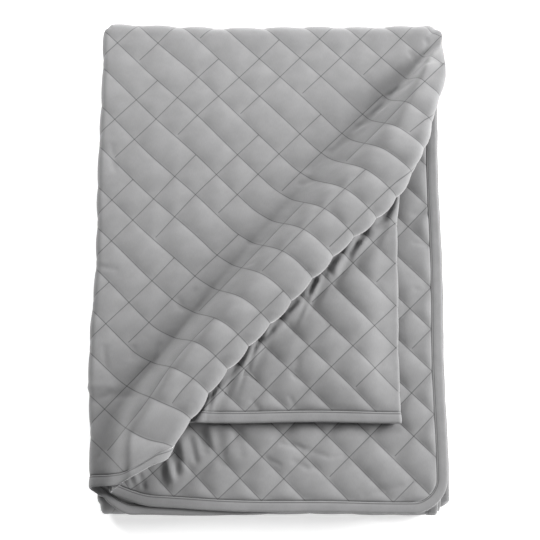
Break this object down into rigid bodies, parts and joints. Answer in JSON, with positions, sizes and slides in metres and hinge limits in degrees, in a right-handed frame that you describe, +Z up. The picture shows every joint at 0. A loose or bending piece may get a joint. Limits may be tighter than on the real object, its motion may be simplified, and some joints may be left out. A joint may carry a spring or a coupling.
{
  "type": "folded quilted bedspread",
  "caption": "Diamond-quilted velvet bedspread with a bound edge, folded into a flat pile with its top flap drawn back in a slanting pleat.",
  "frame": {"origin": "middle of the folded pile's footprint, on the surface it lies on", "axes": "+Z up, +X to the right along the front edge, +Y away from the front edge"},
  "size_m": [0.6081, 0.86, 0.1122],
  "materials": {
    "quilted_velvet": "brushed velvet, quilted",
    "binding_velvet": "brushed velvet, plain strip"
  },
  "bodies": {
    "root": {"quilted_panel": "quilted_velvet", "edge_binding": "binding_velvet"}
  },
  "joints": []
}
